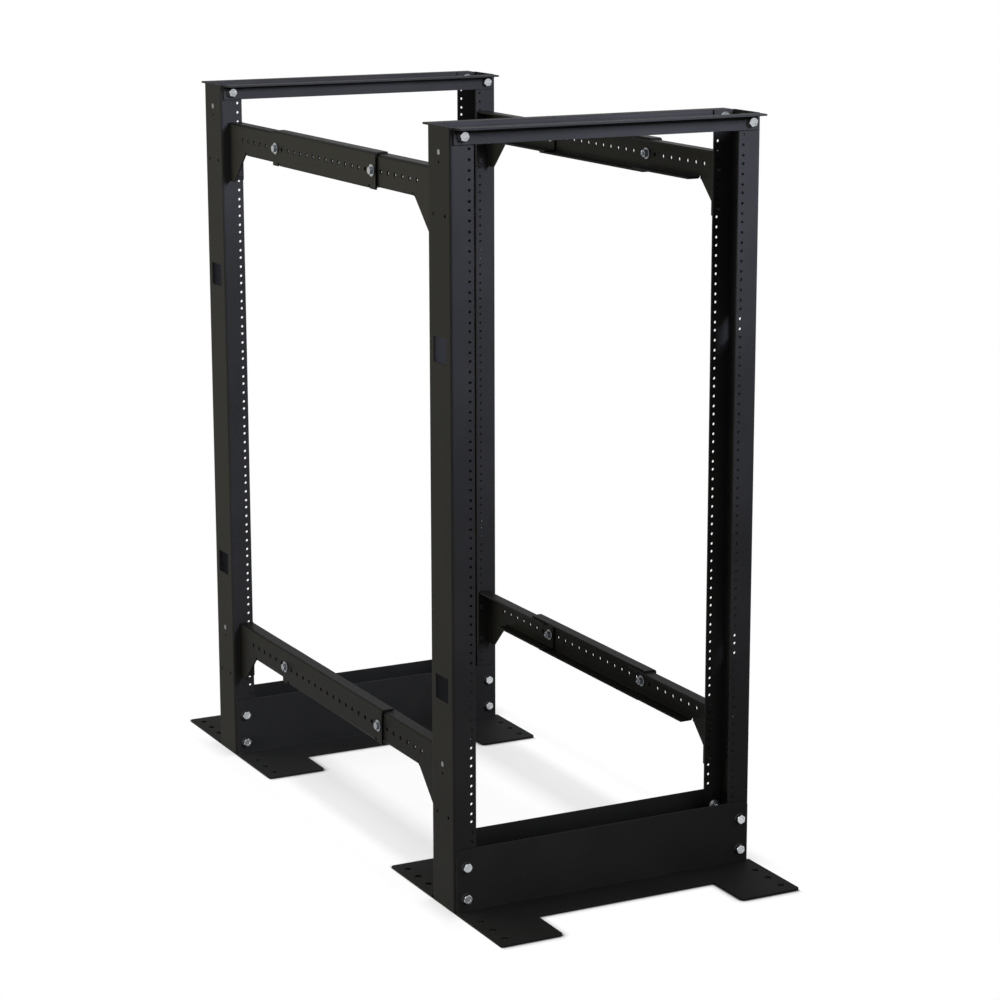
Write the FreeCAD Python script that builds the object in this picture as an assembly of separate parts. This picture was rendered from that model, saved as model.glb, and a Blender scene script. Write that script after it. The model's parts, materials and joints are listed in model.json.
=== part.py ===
import FreeCAD, Part
import math
import os

# Four-post open-frame equipment rack, 24 rack units high, with adjustable depth.
# Two alike frames of folded sheet steel stand one behind the other. Each has two C-shaped
# posts between two top angles and two base angles. Four telescopic rails join the frames:
# an arm on each post and a sleeve round both arms.
# Millimetres. X runs across the width, Y from front to back, Z up from the floor.
# The origin lies on the floor, in the middle of the rack's footprint.

# Driving sizes of the whole rack
unit_height = 44.45
unit_total = 24
hole_column_spacing = 465.1
hole_edge_margin = 7.55
flange_width = 38.1
upright_depth = 76.2
frame_pitch = 889.0
first_unit_height = 105.0
top_margin = 25.4

# Folded sheet
sheet = 3.0
bend_radius = 1.5
bend_relief = 1.0

# Equipment holes
unit_hole_offsets = (6.35, 22.225, 38.1)
equipment_hole_radius = 2.75
mount_units = (1, 12, 24)

# Frame bolts and their holes
frame_bolt_hole_radius = 5.0
top_bolt_drop = 12.7
base_bolt_heights = (22.9, 73.7)

# Cut-outs in the webs of the uprights
window_depth = 42.0
window_height = 38.5
window_corner_radius = 2.0
window_centres = (349.0, 867.0)
accessory_hole_heights = (229.0, 1159.0)
accessory_hole_radius = 4.5
pilot_hole_drop = 14.6
pilot_hole_radius = 2.25
pair_hole_heights = (148.4, 1067.2)
pair_hole_spacing = 38.1
pair_hole_radius = 2.75

# Top angles
top_leg_height = 25.4
top_shelf_reach = 25.4
top_angle_inset = 4.5

# Base angles
base_leg_height = 101.6
base_leg_inset = 3.2
base_corner_radius = 8.0
foot_reach = 155.0
foot_width = 106.0
foot_bridge_depth = 69.85
foot_corner_radius = 6.0
notch_corner_radius = 1.0
foot_hole_radius = 5.5
foot_hole_pitch = 38.1
foot_hole_tip_margin = 25.4
foot_hole_total = 3

# Depth rails
rail_units = (3, 23)
rail_rise = 2.7
arm_height = 50.8
arm_flange = 23.0
arm_inset = 12.7
arm_hole_total = 8
rail_hole_pitch = 25.4
rail_hole_radius = 3.5
first_rail_hole_offset = 63.5
rail_end_margin = 12.7
tab_edge_margin = 11.3
gusset_foot = 22.0
arm_flange_start = 78.7
relief_slot_width = 5.0
relief_slot_depth = 6.0
sleeve_flange = 22.0
sleeve_clearance = 0.4
sleeve_cut_back = 25.4
shared_hole_total = 2

# Sizes worked out from the driving ones
clear_opening = hole_column_spacing - 2 * hole_edge_margin
half_width = clear_opening / 2 + flange_width
overall_height = first_unit_height + unit_total * unit_height + top_margin
bolt_x = half_width - flange_width / 2
hole_x = hole_column_spacing / 2
front_y = -(frame_pitch + upright_depth) / 2
rear_y = front_y + frame_pitch
outer_bend_radius = bend_radius + sheet
through = 3 * sheet


def in_plan(a, b):
    """Point of an outline drawn from above."""
    return FreeCAD.Vector(a, b, 0)


def in_elevation(a, b):
    """Point of an outline drawn from the front."""
    return FreeCAD.Vector(a, 0, b)


def in_side_view(a, b):
    """Point of an outline drawn from the side."""
    return FreeCAD.Vector(0, a, b)


def outline_face(corners, place):
    """Flat face through corners given as a, b and rounding radius."""
    stretches = []
    for i, (a, b, radius) in enumerate(corners):
        corner = FreeCAD.Vector(a, b, 0)
        before = FreeCAD.Vector(*corners[i - 1][:2], 0) - corner
        after = FreeCAD.Vector(*corners[(i + 1) % len(corners)][:2], 0) - corner
        half_angle = before.getAngle(after) / 2
        before.normalize()
        after.normalize()
        start = corner + before * (radius / math.tan(half_angle))
        end = corner + after * (radius / math.tan(half_angle))
        centre_distance = radius / math.sin(half_angle)
        middle = corner + (before + after).normalize() * (centre_distance - radius)
        stretches.append((start, middle, end, radius))
    edges = []
    for i, (start, middle, end, radius) in enumerate(stretches):
        if radius > 0:
            edges.append(Part.Arc(*[place(p.x, p.y) for p in (start, middle, end)]).toShape())
        following = stretches[(i + 1) % len(stretches)][0]
        edges.append(Part.LineSegment(place(end.x, end.y), place(following.x, following.y)).toShape())
    return Part.Face(Part.Wire(edges))


def prism(corners, place, start, end):
    """Outline swept along the axis it is drawn across, from start to end."""
    axis = place(1, 0).cross(place(0, 1))
    if place is in_elevation:
        axis = -axis
    face = outline_face(corners, place)
    face.translate(axis * start)
    return face.extrude(axis * (end - start))


def box(x0, x1, y0, y1, z0, z1):
    """Box between two corners given in any order."""
    low = FreeCAD.Vector(min(x0, x1), min(y0, y1), min(z0, z1))
    return Part.makeBox(abs(x1 - x0), abs(y1 - y0), abs(z1 - z0), low)


def round_cutter(axis, centre, radius):
    """Round cutter through one sheet."""
    return Part.makeCylinder(radius, through, centre - axis * (through / 2), axis)


def small_cutter(axis, centre, radius):
    """Four-sided cutter through one sheet, as wide across its corners as the round hole."""
    across = axis.cross(FreeCAD.Vector(0, 0, 1))
    up = FreeCAD.Vector(0, 0, 1)
    start = centre - axis * (through / 2)
    turns = [math.pi / 4 + k * math.pi / 2 for k in range(4)]
    corners = [start + across * (radius * math.cos(t)) + up * (radius * math.sin(t)) for t in turns]
    return Part.Face(Part.makePolygon(corners + corners[:1])).extrude(axis * through)


x_axis = FreeCAD.Vector(1, 0, 0)
y_axis = FreeCAD.Vector(0, 1, 0)
z_axis = FreeCAD.Vector(0, 0, 1)


def unit_hole_height(unit, place):
    """Height of a rack unit's lowest, middle or highest hole, as place 0, 1 or 2."""
    return first_unit_height + (unit - 1) * unit_height + unit_hole_offsets[place]


def rail_centre(level):
    """Height of the middle of the lower or upper rails, level 0 or 1."""
    return unit_hole_height(rail_units[level], 1) + rail_rise


def rail_screw_heights(level):
    """Heights of the two equipment holes that hold a rail's tab."""
    return unit_hole_height(rail_units[level] - 1, 0), unit_hole_height(rail_units[level], 1)


def upright(side, y0, faces_front):
    """C-shaped post with its web outside and two flanges turned inwards."""
    outer = side * half_width
    edge = side * clear_opening / 2
    inner = outer - side * sheet
    y1 = y0 + upright_depth
    section = [(outer, y0, outer_bend_radius), (outer, y1, outer_bend_radius),
               (edge, y1, 0), (edge, y1 - sheet, 0),
               (inner, y1 - sheet, bend_radius), (inner, y0 + sheet, bend_radius),
               (edge, y0 + sheet, 0), (edge, y0, 0)]
    body = prism(section, in_plan, 0, overall_height)
    cutters = []
    for flange_y in (y0 + sheet / 2, y1 - sheet / 2):
        stated = faces_front and flange_y < y0 + sheet
        for unit in range(1, unit_total + 1):
            for place in range(len(unit_hole_offsets)):
                make = round_cutter if stated and unit in mount_units and place != 1 else small_cutter
                centre = FreeCAD.Vector(side * hole_x, flange_y, unit_hole_height(unit, place))
                cutters.append(make(y_axis, centre, equipment_hole_radius))
        for height in base_bolt_heights + (overall_height - top_bolt_drop,):
            centre = FreeCAD.Vector(side * bolt_x, flange_y, height)
            cutters.append(small_cutter(y_axis, centre, frame_bolt_hole_radius))
    cutters += web_cutters(outer - side * sheet / 2, y0 + upright_depth / 2)
    return body.cut(cutters)


def web_cutters(web_x, centre_y):
    """Cutters for the windows and small holes in an upright's web."""
    cutters = []
    for height in window_centres:
        corners = [(centre_y + a * window_depth / 2, height + b * window_height / 2, window_corner_radius)
                   for a, b in ((-1, -1), (1, -1), (1, 1), (-1, 1))]
        cutters.append(prism(corners, in_side_view, web_x - through / 2, web_x + through / 2))
    small_holes = []
    for height in accessory_hole_heights:
        small_holes.append((centre_y, height, accessory_hole_radius))
        small_holes.append((centre_y, height - pilot_hole_drop, pilot_hole_radius))
    for height in pair_hole_heights:
        for sign in (-1, 1):
            small_holes.append((centre_y + sign * pair_hole_spacing / 2, height, pair_hole_radius))
    for y, height, radius in small_holes:
        cutters.append(small_cutter(x_axis, FreeCAD.Vector(web_x, y, height), radius))
    return cutters


def top_angle(face_y, out):
    """Angle across the top of a frame, its shelf pointing away from the posts."""
    z1 = overall_height
    leg_y = face_y + out * sheet
    tip_y = face_y + out * top_shelf_reach
    section = [(face_y, z1, outer_bend_radius), (face_y, z1 - top_leg_height, 0),
               (leg_y, z1 - top_leg_height, 0), (leg_y, z1 - sheet, bend_radius),
               (tip_y, z1 - sheet, 0), (tip_y, z1, 0)]
    half_length = half_width - top_angle_inset
    body = prism(section, in_side_view, -half_length, half_length)
    holes = [small_cutter(y_axis, FreeCAD.Vector(side * bolt_x, face_y + out * sheet / 2, z1 - top_bolt_drop),
                          frame_bolt_hole_radius) for side in (-1, 1)]
    return body.cut(holes)


def base_angle(face_y, out):
    """Angle across the foot of a frame, its flat leg notched into two feet.

    The upright leg stops short of the post's bend. The feet reach its full width.
    """
    leg_y = face_y + out * sheet
    tip_y = face_y + out * foot_reach
    section = [(face_y, 0, outer_bend_radius), (tip_y, 0, 0), (tip_y, sheet, 0),
               (leg_y, sheet, bend_radius), (leg_y, base_leg_height, 0), (face_y, base_leg_height, 0)]
    body = prism(section, in_side_view, -half_width, half_width)
    notch_x = half_width - foot_width
    bridge_y = face_y + out * foot_bridge_depth
    leg_x = half_width - base_leg_inset
    flat_y = face_y + out * outer_bend_radius
    plan = [(-leg_x, face_y, 0), (leg_x, face_y, 0), (leg_x, flat_y, 0), (half_width, flat_y, 0),
            (half_width, tip_y, foot_corner_radius), (notch_x, tip_y, foot_corner_radius),
            (notch_x, bridge_y, notch_corner_radius), (-notch_x, bridge_y, notch_corner_radius),
            (-notch_x, tip_y, foot_corner_radius), (-half_width, tip_y, foot_corner_radius),
            (-half_width, flat_y, 0), (-leg_x, flat_y, 0)]
    elevation = [(-half_width, 0, 0), (half_width, 0, 0), (half_width, outer_bend_radius, 0),
                 (leg_x, outer_bend_radius, 0), (leg_x, base_leg_height, base_corner_radius),
                 (-leg_x, base_leg_height, base_corner_radius), (-leg_x, outer_bend_radius, 0),
                 (-half_width, outer_bend_radius, 0)]
    low_y = min(face_y, tip_y)
    body = body.common(prism(plan, in_plan, 0, base_leg_height))
    body = body.common(prism(elevation, in_elevation, low_y, low_y + foot_reach))
    holes = []
    for side in (-1, 1):
        for height in base_bolt_heights:
            centre = FreeCAD.Vector(side * bolt_x, face_y + out * sheet / 2, height)
            holes.append(small_cutter(y_axis, centre, frame_bolt_hole_radius))
        for k in range(foot_hole_total):
            y = tip_y - out * (foot_hole_tip_margin + k * foot_hole_pitch)
            holes.append(round_cutter(z_axis, FreeCAD.Vector(side * bolt_x, y, sheet / 2), foot_hole_radius))
    return body.cut(holes)


def channel(side, outer_x, flange, y0, y1, z0, z1):
    """C-section along Y with its web outside and flanges turned inwards."""
    inner_x = outer_x - side * sheet
    edge_x = outer_x - side * flange
    section = [(outer_x, z0, outer_bend_radius), (outer_x, z1, outer_bend_radius),
               (edge_x, z1, 0), (edge_x, z1 - sheet, 0),
               (inner_x, z1 - sheet, bend_radius), (inner_x, z0 + sheet, bend_radius),
               (edge_x, z0 + sheet, 0), (edge_x, z0, 0)]
    return prism(section, in_elevation, y0, y1)


def arm(side, level, seat_y, out):
    """Rail arm on the post's flange, with its tab, gusset and hole row."""
    outer_x = side * (half_width - arm_inset)
    inner_x = outer_x - side * sheet
    z1 = rail_centre(level) + arm_height / 2
    z0 = z1 - arm_height
    tab_z = rail_screw_heights(level)[0] - tab_edge_margin
    tab_x = side * clear_opening / 2
    top_y = seat_y + out * (outer_bend_radius + bend_relief)
    end_y = seat_y + out * (first_rail_hole_offset + (arm_hole_total - 1) * rail_hole_pitch + rail_end_margin)
    flange_y = seat_y + out * arm_flange_start
    slot_y = flange_y - out * relief_slot_width
    slot_z = z0 + relief_slot_depth
    gusset_y = seat_y + out * gusset_foot
    body = channel(side, outer_x, arm_flange, top_y, end_y, z0, z1)
    body = body.cut(box(outer_x + side * sheet, outer_x - side * 2 * arm_flange, top_y, flange_y, z0 - sheet, slot_z))
    folded = [(outer_x, seat_y, outer_bend_radius), (outer_x, flange_y, 0), (inner_x, flange_y, 0),
              (inner_x, seat_y + out * sheet, bend_radius), (tab_x, seat_y + out * sheet, 0), (tab_x, seat_y, 0)]
    plate = [(seat_y, tab_z, 0), (gusset_y, tab_z, 0), (gusset_y + out * (z0 - tab_z), z0, 0),
             (slot_y, z0, 0), (slot_y, slot_z, 0), (flange_y, slot_z, 0),
             (flange_y, z1 - outer_bend_radius, 0), (top_y, z1 - outer_bend_radius, 0),
             (top_y, z1, 0), (seat_y, z1, 0)]
    web = prism(folded, in_plan, tab_z, z1)
    web = web.common(prism(plate, in_side_view, min(outer_x, tab_x), max(outer_x, tab_x)))
    body = body.fuse(web).removeSplitter()
    return body.cut(rail_hole_cutters(side, outer_x, level, seat_y, out, range(arm_hole_total))
                    + tab_hole_cutters(side, level, seat_y + out * sheet / 2))


def rail_hole_cutters(side, outer_x, level, seat_y, out, steps):
    """Cutters for a rail's hole row, counted in pitches from a post's seat."""
    cutters = []
    for k in steps:
        y = seat_y + out * (first_rail_hole_offset + k * rail_hole_pitch)
        centre = FreeCAD.Vector(outer_x - side * sheet / 2, y, rail_centre(level))
        cutters.append(small_cutter(x_axis, centre, rail_hole_radius))
    return cutters


def tab_hole_cutters(side, level, middle_y):
    """Cutters for the two screw holes in an arm's tab."""
    return [small_cutter(y_axis, FreeCAD.Vector(side * hole_x, middle_y, height), equipment_hole_radius)
            for height in rail_screw_heights(level)]


def sleeve(side, level, front_seat, rear_seat):
    """Outer channel round the ends of a rail's two arms."""
    gap = sheet + sleeve_clearance
    outer_x = side * (half_width - arm_inset + gap)
    inner_x = outer_x - side * sheet
    z1 = rail_centre(level) + arm_height / 2 + gap
    z0 = rail_centre(level) - arm_height / 2 - gap
    first = arm_hole_total - shared_hole_total
    run = first_rail_hole_offset + first * rail_hole_pitch - rail_end_margin
    y0 = front_seat + run
    y1 = rear_seat - run
    slot_z = z0 + relief_slot_depth
    body = channel(side, outer_x, sleeve_flange, y0, y1, z0, z1)
    for end, out in ((y0, 1), (y1, -1)):
        flange_y = end + out * sleeve_cut_back
        body = body.cut(box(outer_x + side * sheet, outer_x - side * 2 * sleeve_flange, end, flange_y,
                            z0 - sheet, slot_z))
        lip = box(outer_x, inner_x, end, flange_y - out * relief_slot_width, z0, slot_z)
        body = body.fuse(lip)
    body = body.removeSplitter()
    total = int(round((y1 - y0 - 2 * rail_end_margin) / rail_hole_pitch, 3)) + 1
    return body.cut(rail_hole_cutters(side, outer_x, level, front_seat, 1, range(first, first + total)))


def save(name, shape):
    """Write one piece and print its size."""
    assert shape.isValid() and len(shape.Solids) == 1, name
    shape.Solids[0].exportStep("parts/" + name + ".step")
    b = shape.BoundBox
    print(name, len(shape.Faces), "faces", round(b.XLength, 1), round(b.YLength, 1), round(b.ZLength, 1))


def main():
    os.makedirs("parts", exist_ok=True)
    for frame, y0 in (("front", front_y), ("rear", rear_y)):
        for side_name, side in (("left", -1), ("right", 1)):
            save(frame + "_" + side_name + "_upright", upright(side, y0, frame == "front"))
        for place, face_y, out in (("front", y0, -1), ("back", y0 + upright_depth, 1)):
            save(frame + "_frame_" + place + "_top_angle", top_angle(face_y, out))
            save(frame + "_frame_" + place + "_base_angle", base_angle(face_y, out))
    front_seat = front_y + upright_depth
    for level_name, level in (("lower", 0), ("upper", 1)):
        for side_name, side in (("left", -1), ("right", 1)):
            name = level_name + "_" + side_name
            save(name + "_front_arm", arm(side, level, front_seat, 1))
            save(name + "_rear_arm", arm(side, level, rear_y, -1))
            save(name + "_sleeve", sleeve(side, level, front_seat, rear_y))


main()
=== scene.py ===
import json
import math

import bmesh
import bpy
import numpy as np
from mathutils import Matrix, Vector, geometry


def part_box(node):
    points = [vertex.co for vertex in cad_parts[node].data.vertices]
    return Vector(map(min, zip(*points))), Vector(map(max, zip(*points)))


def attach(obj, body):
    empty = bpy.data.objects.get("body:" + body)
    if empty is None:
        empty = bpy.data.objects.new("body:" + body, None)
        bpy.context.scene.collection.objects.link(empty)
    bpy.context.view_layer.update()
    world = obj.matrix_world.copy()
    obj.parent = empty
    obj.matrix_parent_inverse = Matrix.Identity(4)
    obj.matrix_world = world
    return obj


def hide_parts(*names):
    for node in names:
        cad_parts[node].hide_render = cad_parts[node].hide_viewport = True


# Looks of a four-post open-frame equipment rack in black powder coat.
# Sizes are millimetres and become metres when a mesh is made.

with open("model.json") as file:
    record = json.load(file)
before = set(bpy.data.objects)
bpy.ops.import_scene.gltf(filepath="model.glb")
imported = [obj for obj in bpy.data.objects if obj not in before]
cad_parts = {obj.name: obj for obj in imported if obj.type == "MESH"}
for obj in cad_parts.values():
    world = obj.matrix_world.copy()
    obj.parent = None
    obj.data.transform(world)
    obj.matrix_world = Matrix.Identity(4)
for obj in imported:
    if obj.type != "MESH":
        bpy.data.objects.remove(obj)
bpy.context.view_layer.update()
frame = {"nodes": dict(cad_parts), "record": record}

MM = 0.001

# Folded sheet
SHEET = 3.0
BEND = 4.5
EDGE = 0.35
CORNER = 0.8
BEND_STEPS = 8
ARC_STEP = math.radians(15)
HAIR = 0.01
SMALL_HOLE_SIDES = 12
HOLE_SIDES = 16
LARGE_HOLE_SIDES = 24

# Equipment holes, as wide as their threads leave them open
UNIT = 44.45
UNITS = 24
UNIT_HOLES = (6.35, 22.225, 38.1)
FIRST_UNIT = 105.0
HOLE_X = 465.1 / 2
HOLE_R = 2.3

# Frame bolts
BOLT_X = 244.05
BOLT_HOLE_R = 5.0
TOP_BOLT_DROP = 12.7
BASE_BOLTS = (22.9, 73.7)

# Upright webs
WINDOW = (42.0, 38.5, 2.0)  # width, height and corner radius
WINDOW_CENTRES = (349.0, 867.0)
ACCESSORY_HOLES = (229.0, 1159.0)
ACCESSORY_R = 4.5
PILOT_DROP = 14.6
PILOT_R = 2.25
PAIR_HOLES = (148.4, 1067.2)
PAIR_SPACING = 38.1
PAIR_R = 2.75

# Base angles
BASE_LEG_INSET = 3.2
BASE_CORNER = 8.0
FOOT_WIDTH = 106.0
FOOT_BRIDGE = 69.85
FOOT_CORNER = 6.0
FOOT_HOLES = 3
FOOT_HOLE_R = 5.5
FOOT_HOLE_PITCH = 38.1
FOOT_HOLE_TIP = 25.4

# Rails
RAIL_UNITS = {"lower": 3, "upper": 23}
RAIL_RISE = 2.7
ARM_HEIGHT = 50.8
ARM_DEPTH = 23.0
PITCH = 25.4
RAIL_HOLE_R = 3.5
FIRST_RAIL_HOLE = 63.5
ARM_HOLES = 8
TAB_EDGE_X = 225.0
TAB_HOLE_R = 2.75
GUSSET_FOOT = 22.0
GUSSET_CORNER = 2.0
ARM_FLANGE_START = 78.7
SLOT_WIDTH = 5.0
SLOT_DEPTH = 6.0
SLOT_CORNER = 1.5
RELIEF = 1.0
RELIEF_CORNER = 0.4
CUT_BACK = 25.4
SLEEVE_START = 5.5  # hole steps from an arm's first hole to the sleeve's front end
SLEEVE_CLEARANCE = 0.4

# Noise scales of the finishes
CLOUD_SCALE = 9.0
GRAIN_SCALE = 1600.0
PEEL_SCALE = 420.0
PLATE_SCALE = 180.0

# Powder coats: colour, roughness and specular level. Zinc plates: colour and roughness
COATS = {
    "frame_steel": ((0.022, 0.0218, 0.022), 0.55, 0.02),
    "base_steel": ((0.0225, 0.0225, 0.022), 0.6, 0.02),
    "rail_steel": ((0.0115, 0.0114, 0.011), 0.42, 0.02),
}
ZINC = {
    "bright_zinc": ((0.54, 0.56, 0.58), 0.34),
    "rail_zinc": ((0.19, 0.205, 0.235), 0.5),
    "insert_zinc": ((0.12, 0.125, 0.14), 0.5),
    # The darkest zinc paints shade on the sides and flanges of the frame bolt heads; the real plate is
    # bright all over.
    "painted_shade_zinc": ((0.03, 0.03, 0.032), 0.5),
}

# Camera: angles in degrees, place and film width in millimetres
CAMERA_PLACE = (-2062.1, -4151.5, 1574.4)
CAMERA_AZIMUTH = 27.1145
CAMERA_ELEVATION = 12.7624
CAMERA_ROLL = -0.101
CAMERA_LENS = 102.01
CAMERA_FILM = 36.0
CAMERA_REACH = 100.0

# Lamps: place and target in metres, size, watts, spread in degrees, colour.
# Those named floor light the floor alone, the others leave it out.
LAMPS = (
    ("key", (0.8, -2.3, 2.1), (0.0, -0.1, 1.5), 0.9, 26.0, 60.0, (0.78, 0.82, 1.0)),
    ("fill", (-2.2, 2.2, 0.6), (-0.2, 0.2, 0.6), 1.6, 31.5, 180.0, (1.0, 0.95, 0.6)),
    ("side", (-1.7, 0.0, 0.1), (-0.26, 0.0, 0.25), 0.5, 7.0, 150.0, (1.0, 0.96, 0.78)),
    ("low", (-0.25, -1.7, 0.35), (-0.15, -0.6, 0.1), 0.5, 1.25, 110.0, (1.0, 0.98, 0.92)),
    ("top", (-0.6, 0.0, 2.1), (0.0, 0.0, 0.0), 0.7, 6.0, 180.0, (0.95, 0.97, 1.0)),
    ("floor_left", (-1.0, 0.0, 3.2), (0.0, 0.0, 0.0), 1.3, 58.0, 180.0, (1.0, 1.0, 1.0)),
    ("floor_right", (1.2, 0.0, 3.2), (0.0, 0.0, 0.0), 1.3, 58.0, 180.0, (1.0, 1.0, 1.0)),
)

# World light on the object, and as cameras and reflections see it
WORLD_LIGHT = 0.2
WORLD_SHOWN = 1.0

# Floor. The shadow fades out between the two distances of SHADOW_X and SHADOW_Y
FLOOR_SIZE = 40.0
FLOOR_DROP = 0.0005
FLOOR_ALBEDO = 0.9
FLOOR_LIFT = 0.06
FLOOR_BOUNCE = 0.22
SHADOW_X = (0.235, 0.3)
SHADOW_Y = (0.4, 0.56)
# Painted contact shade: ambient occlusion darkens the floor towards black at the feet and in the foot holes,
# within CONTACT_X of the middle.
CONTACT_X = 0.2625
CONTACT_REACH = 0.014
CONTACT_POWER = 6.0
CONTACT_SAMPLES = 12

# Bolts: flats, head height, washer or flange radius, washer thickness, thread radius,
# nut height, thread past the nut, pitch
RING = 36
CHAMFER = 0.577
CROWN = 0.95
WASHER_FACE = 0.93
WASHER_FACE_HEIGHT = 0.4
WASHER_SOFTNESS = 0.2
THREAD_DEPTH = 0.35
BORE_CHAMFER = 0.5
SHARP = math.radians(28)
FRAME_BOLT = (13.2, 7.6, 9.0, 1.6, 4.0, 7.6, 3.0, 1.4)
FRAME_BOLT_SPIN = (0.2, 0.83)
RAIL_BOLT = (11.1, 4.2, 9.5, 1.6, 3.1, 5.5, 3.0, 1.3)
RAIL_BOLT_SPIN = (0.4, 0.7)
NUT_SPIN = 2.3
SLEEVE_BOLTS = ((-1, 6), (-1, 21), (1, 7))  # side and hole step
REAR_ARM_BOLTS = ((1, 20),)
FLANGE_RIM = (0.3, 0.9, 1.2)
FLANGE_SLOPE = 0.5
SHOULDER = 0.42
FACE_SHARE = 0.8
RECESS_SHARES = (0.68, 0.6)
FACE_RECESS = 0.6

# Tab screws: head radius, head height, thread radius, pitch. Shares of the head's radius and height
TAB_SCREW = (4.8, 3.0, 2.6, 1.0)
SCREW_HEAD = ((1.0, 0.0), (1.0, 0.35), (0.9, 0.75), (0.65, 1.0), (0.45, 1.0), (0.4, 0.45))
TAB_SCREW_LENGTH = 16.0

# Inserts in the accessory holes
INSERT_BARREL = 3.6
INSERT_LENGTH = 7.0
INSERT_PLAY = 0.1
INSERT_RIM = 0.4


def corners_of(node):
    """A CAD node's lowest and highest corner in millimetres."""
    low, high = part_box(node)
    return Vector(low) / MM, Vector(high) / MM


class Section:
    """Outer face of a folded sheet's cross-section, measured along its developed length."""

    def __init__(self, corners, radius=BEND):
        self.corners = [Vector(c) for c in corners]
        self.radius = radius
        self.arc = radius * math.pi / 2
        ways = [(b - a) for a, b in zip(self.corners, self.corners[1:])]
        self.headings = [w.normalized() for w in ways]
        self.turn = self.headings[0].cross(self.headings[1])
        self.starts = []
        u = 0.0
        for i, way in enumerate(ways):
            self.starts.append(u - (radius if i else 0.0))
            u += way.length - radius * ((i > 0) + (i < len(ways) - 1)) + self.arc
        self.total = u - self.arc

    def u(self, leg, distance):
        """Developed place of the point that far from the leg's first sharp corner."""
        return self.starts[leg] + distance

    def bends(self):
        """First and last developed place of each bend."""
        found = []
        for leg in range(1, len(self.headings)):
            start = self.starts[leg] + self.radius
            found.append((start - self.arc, start))
        return found

    def at(self, u):
        """Point, heading and outward direction on the outer face."""
        sign = 1.0 if self.turn > 0 else -1.0
        for leg, (start, end) in enumerate(self.bends()):
            if u < start:
                break
            if u <= end:
                angle = (u - start) / self.radius
                heading = self.headings[leg]
                out = Vector((heading.y, -heading.x)) * sign
                corner = self.corners[leg + 1]
                centre = corner - heading * self.radius - out * self.radius
                along = heading * math.cos(angle) - out * math.sin(angle)
                away = out * math.cos(angle) + heading * math.sin(angle)
                return centre + away * self.radius, along, away
        else:
            leg = len(self.headings) - 1
        heading = self.headings[leg]
        out = Vector((heading.y, -heading.x)) * sign
        return self.corners[leg] + heading * (u - self.starts[leg]), heading, out


def arc_angles(start, sweep):
    """Angles along an arc, fine enough to look round."""
    steps = max(3, math.ceil(abs(sweep) / ARC_STEP))
    return [start + sweep * k / steps for k in range(steps + 1)]


def rounded_loop(corners):
    """Closed outline with rounded corners. Each point carries its direction out of the sheet."""
    area = sum(a[0] * b[1] - b[0] * a[1] for a, b in zip(corners, corners[1:] + corners[:1]))
    if area < 0:
        corners = corners[::-1]
    loop = []
    for i, (a, b, radius) in enumerate(corners):
        corner = Vector((a, b))
        back = (Vector(corners[i - 1][:2]) - corner).normalized()
        ahead = (Vector(corners[(i + 1) % len(corners)][:2]) - corner).normalized()
        half = back.angle(ahead) / 2
        run = radius / math.tan(half)
        start = corner + back * run
        convex = back.cross(ahead) < 0
        out = Vector((-back.y, back.x))
        if not convex:
            centre = start + out * radius
            first = math.atan2(-out.y, -out.x)
            sweep = -(math.pi - 2 * half)
        else:
            centre = start - out * radius
            first = math.atan2(out.y, out.x)
            sweep = math.pi - 2 * half
        for angle in arc_angles(first, sweep):
            away = Vector((math.cos(angle), math.sin(angle)))
            loop.append((centre + away * radius, away if convex else -away))
    return loop


def round_hole(u, v, radius, count=HOLE_SIDES):
    """Round hole as a closed loop, its directions pointing into the hole."""
    loop = []
    for k in range(count):
        angle = -2 * math.pi * k / count
        away = Vector((math.cos(angle), math.sin(angle)))
        loop.append((Vector((u, v)) + away * radius, -away))
    return loop


def window_hole(u, v, width, height, radius):
    """Square hole with rounded corners, its directions pointing into the hole."""
    half_u, half_v = width / 2, height / 2
    corners = [(u - half_u, v - half_v, radius), (u + half_u, v - half_v, radius),
               (u + half_u, v + half_v, radius), (u - half_u, v + half_v, radius)]
    return [(p, -out) for p, out in reversed(rounded_loop(corners))]


def split_at_creases(loop, creases):
    """Adds outline points where creases cross it. Returns the loop and the crossing pairs."""
    pairs = []
    for axis, value, low, high in creases:
        found = []
        i = 0
        while i < len(loop):
            (p, out), (q, _) = loop[i], loop[(i + 1) % len(loop)]
            if (p[axis] - value) * (q[axis] - value) < 0:
                share = (value - p[axis]) / (q[axis] - p[axis])
                place = p.lerp(q, share)
                if low <= place[1 - axis] <= high:
                    edge = (q - p).normalized()
                    loop.insert(i + 1, (place, Vector((edge.y, -edge.x))))
                    found.append(place)
                    i += 1
            i += 1
        found.sort(key=lambda place: place[1 - axis])
        pairs += list(zip(found[::2], found[1::2]))
    return loop, pairs


def inside(points, loops):
    """Which points lie within the outline and outside its holes."""
    crossings = np.zeros(len(points), dtype=int)
    x, y = points[:, 0], points[:, 1]
    for loop in loops:
        for (p, _), (q, _) in zip(loop, loop[1:] + loop[:1]):
            if p.y == q.y:
                continue
            spans = (p.y > y) != (q.y > y)
            crossings += spans & (x < (q.x - p.x) * (y - p.y) / (q.y - p.y) + p.x)
    return crossings % 2 == 1


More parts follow.
